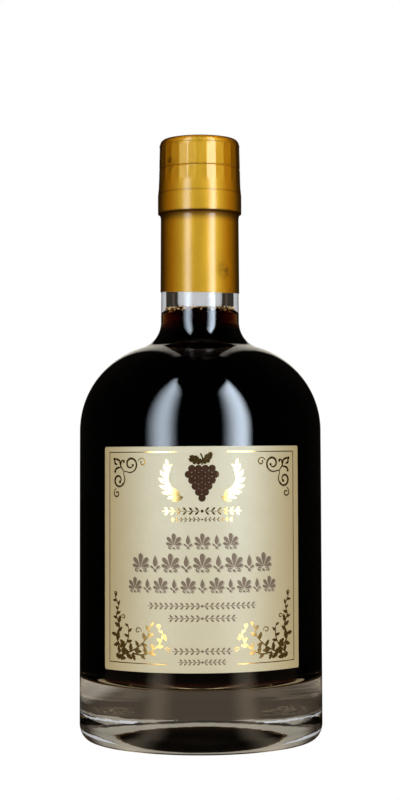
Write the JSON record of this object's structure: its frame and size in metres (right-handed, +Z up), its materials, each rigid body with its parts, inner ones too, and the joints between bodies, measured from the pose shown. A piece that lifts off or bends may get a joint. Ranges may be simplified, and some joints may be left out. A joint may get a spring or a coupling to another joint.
{
  "type": "vinegar bottle",
  "caption": "Heavy round glass bottle of dark vinegar, shut under a gold foil capsule on its straight neck, with a cream paper label wrapped round the front.",
  "frame": {"origin": "on the surface the bottle stands on, under the middle of its foot", "axes": "+Z up along the bottle's axis, the label faces -Y, +X is to the right of someone who faces the label"},
  "size_m": [0.0838, 0.084, 0.2069],
  "materials": {
    "clear_glass": "smooth clear glass, thick at the base, with faint waves in it",
    "dark_vinegar": "very dark red-brown liquid, black in the body and red where it is thin",
    "gold_film": "satin gold foil, glossier round the head",
    "label_paper": "matt cream paper with fine mottling"
  },
  "bodies": {
    "root": {"bottle": "clear_glass", "vinegar": "dark_vinegar", "capsule": "gold_film", "label": "label_paper"}
  },
  "joints": []
}
